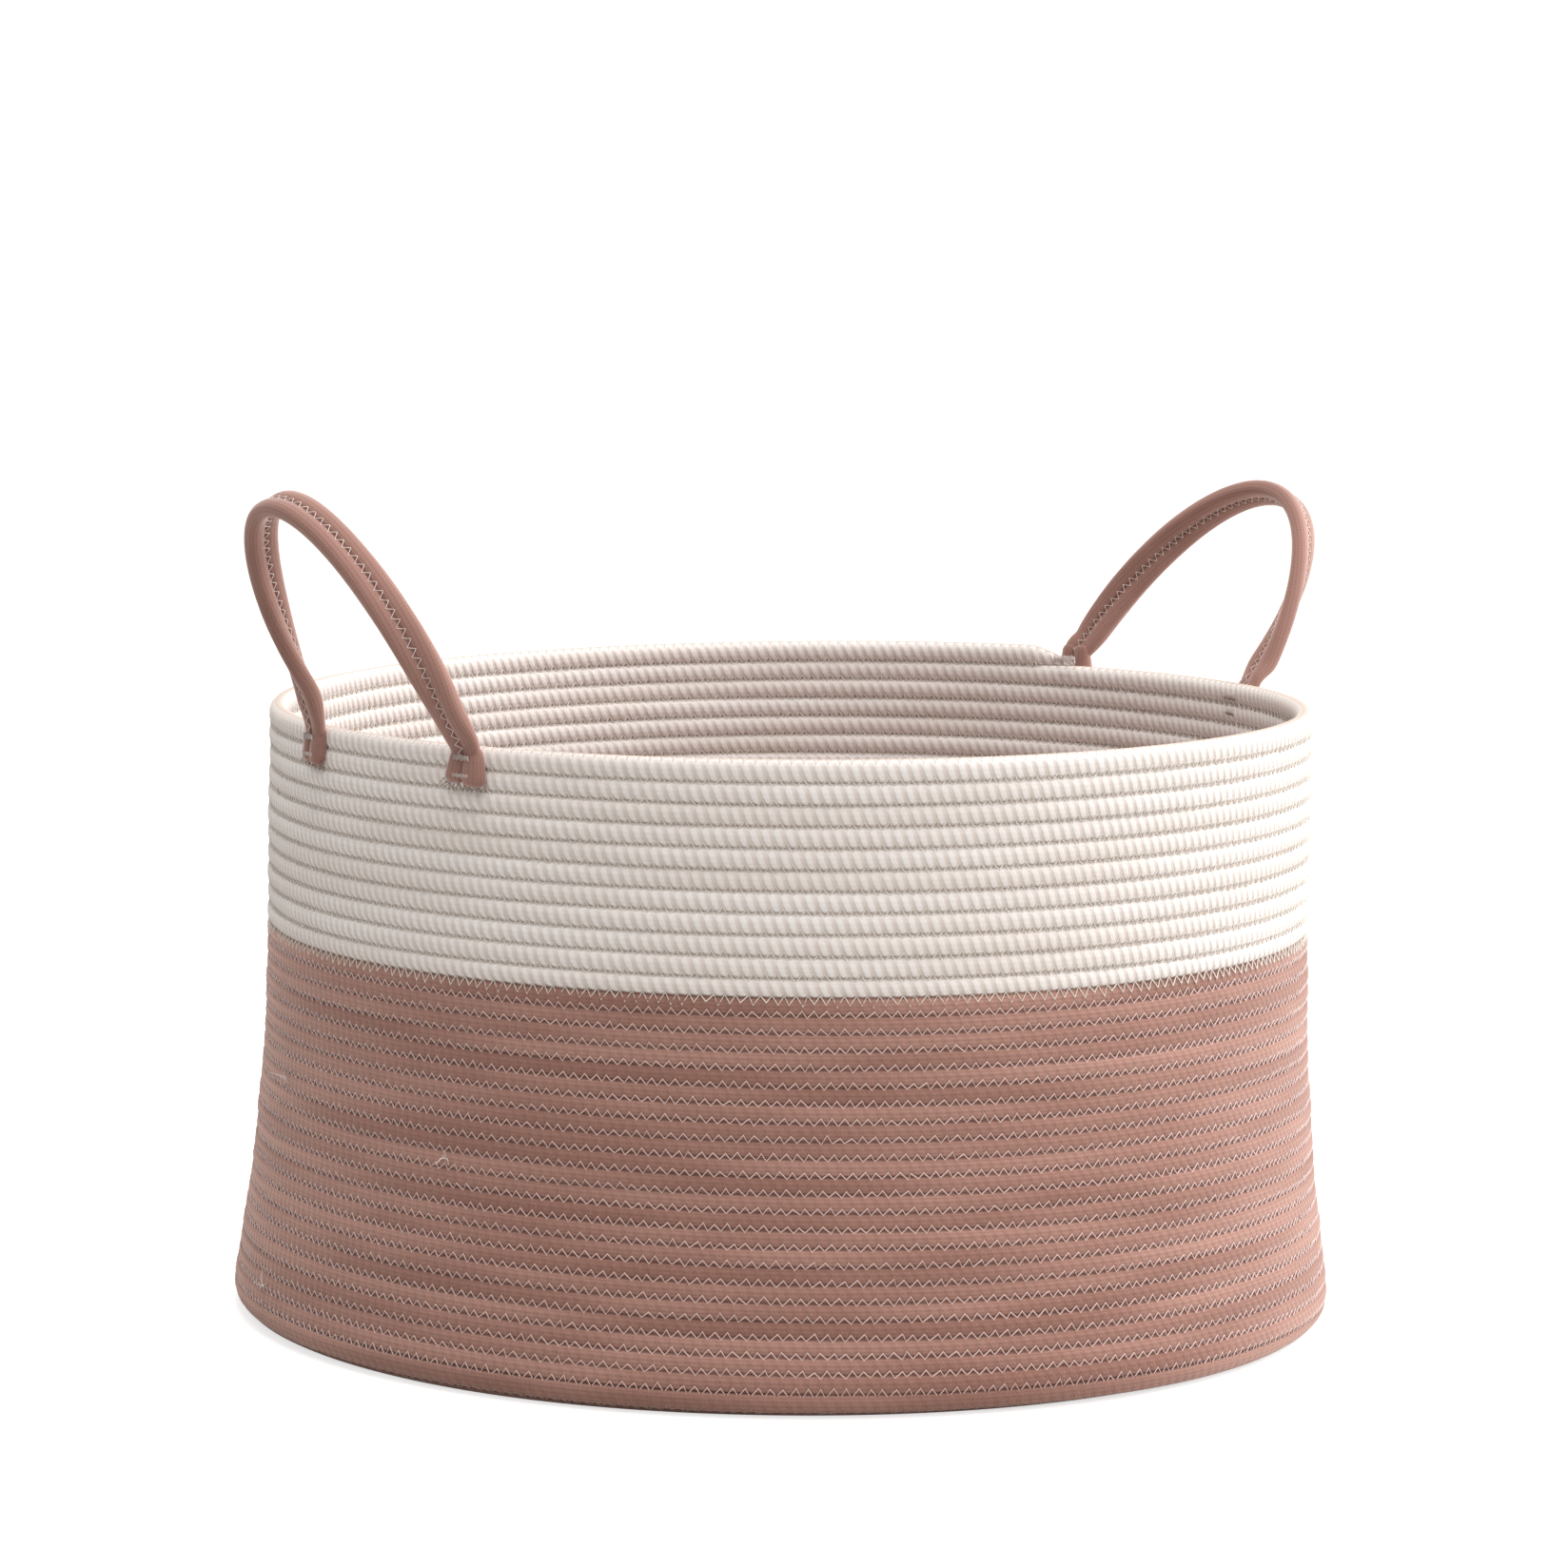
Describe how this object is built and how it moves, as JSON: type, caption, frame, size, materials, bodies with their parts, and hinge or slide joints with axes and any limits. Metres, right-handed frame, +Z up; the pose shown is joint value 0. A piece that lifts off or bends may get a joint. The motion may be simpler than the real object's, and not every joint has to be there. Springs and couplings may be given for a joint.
{
  "type": "coiled rope laundry basket",
  "caption": "Round laundry basket coiled from stitched cotton rope, rose below and cream above, with an oval mouth and two standing strap handles that fold over at their sewn feet.",
  "frame": {"origin": "middle of the underside, on the floor", "axes": "+Z up through the mouth; +X towards the right handle, -X towards the left handle; -Y is the front"},
  "size_m": [0.5774, 0.5258, 0.3965],
  "materials": {
    "rose_rope": "knitted cotton sheath over a soft core, matt",
    "cream_rope": "knitted cotton sheath over a soft core, matt",
    "strap_rope": "knitted cotton sheath, sewn flat in a two-rope strap",
    "rose_thread": "pale pink sewing thread in zigzag stitch",
    "cream_thread": "cream sewing thread in zigzag stitch",
    "white_thread": "off-white sewing thread"
  },
  "bodies": {
    "basket": {"rose_floor_coil": "rose_rope", "floor_stitching": "rose_thread", "rose_wall_coil": "rose_rope", "cream_wall_coil": "cream_rope", "rose_stitching": "rose_thread", "cream_stitching": "cream_thread", "left_front_foot": "strap_rope", "left_back_foot": "strap_rope", "left_foot_tacks": "white_thread", "right_front_foot": "strap_rope", "right_back_foot": "strap_rope", "right_foot_tacks": "white_thread"},
    "left_handle": {"left_handle_inner_rope": "strap_rope", "left_handle_outer_rope": "strap_rope", "left_handle_stitching": "white_thread"},
    "right_handle": {"right_handle_inner_rope": "strap_rope", "right_handle_outer_rope": "strap_rope", "right_handle_stitching": "white_thread"}
  },
  "joints": [
    {"name": "left_handle_fold", "type": "hinge", "parent": "basket", "child": "left_handle", "pos_m": [-0.23784, 0, 0.296], "axis": [0, -1, 0], "range_deg": [-100, 80], "stiffness_Nm_per_rad": 0.15},
    {"name": "right_handle_fold", "type": "hinge", "parent": "basket", "child": "right_handle", "pos_m": [0.23629, 0, 0.296], "axis": [0, 1, 0], "range_deg": [-100, 80], "stiffness_Nm_per_rad": 0.15}
  ]
}
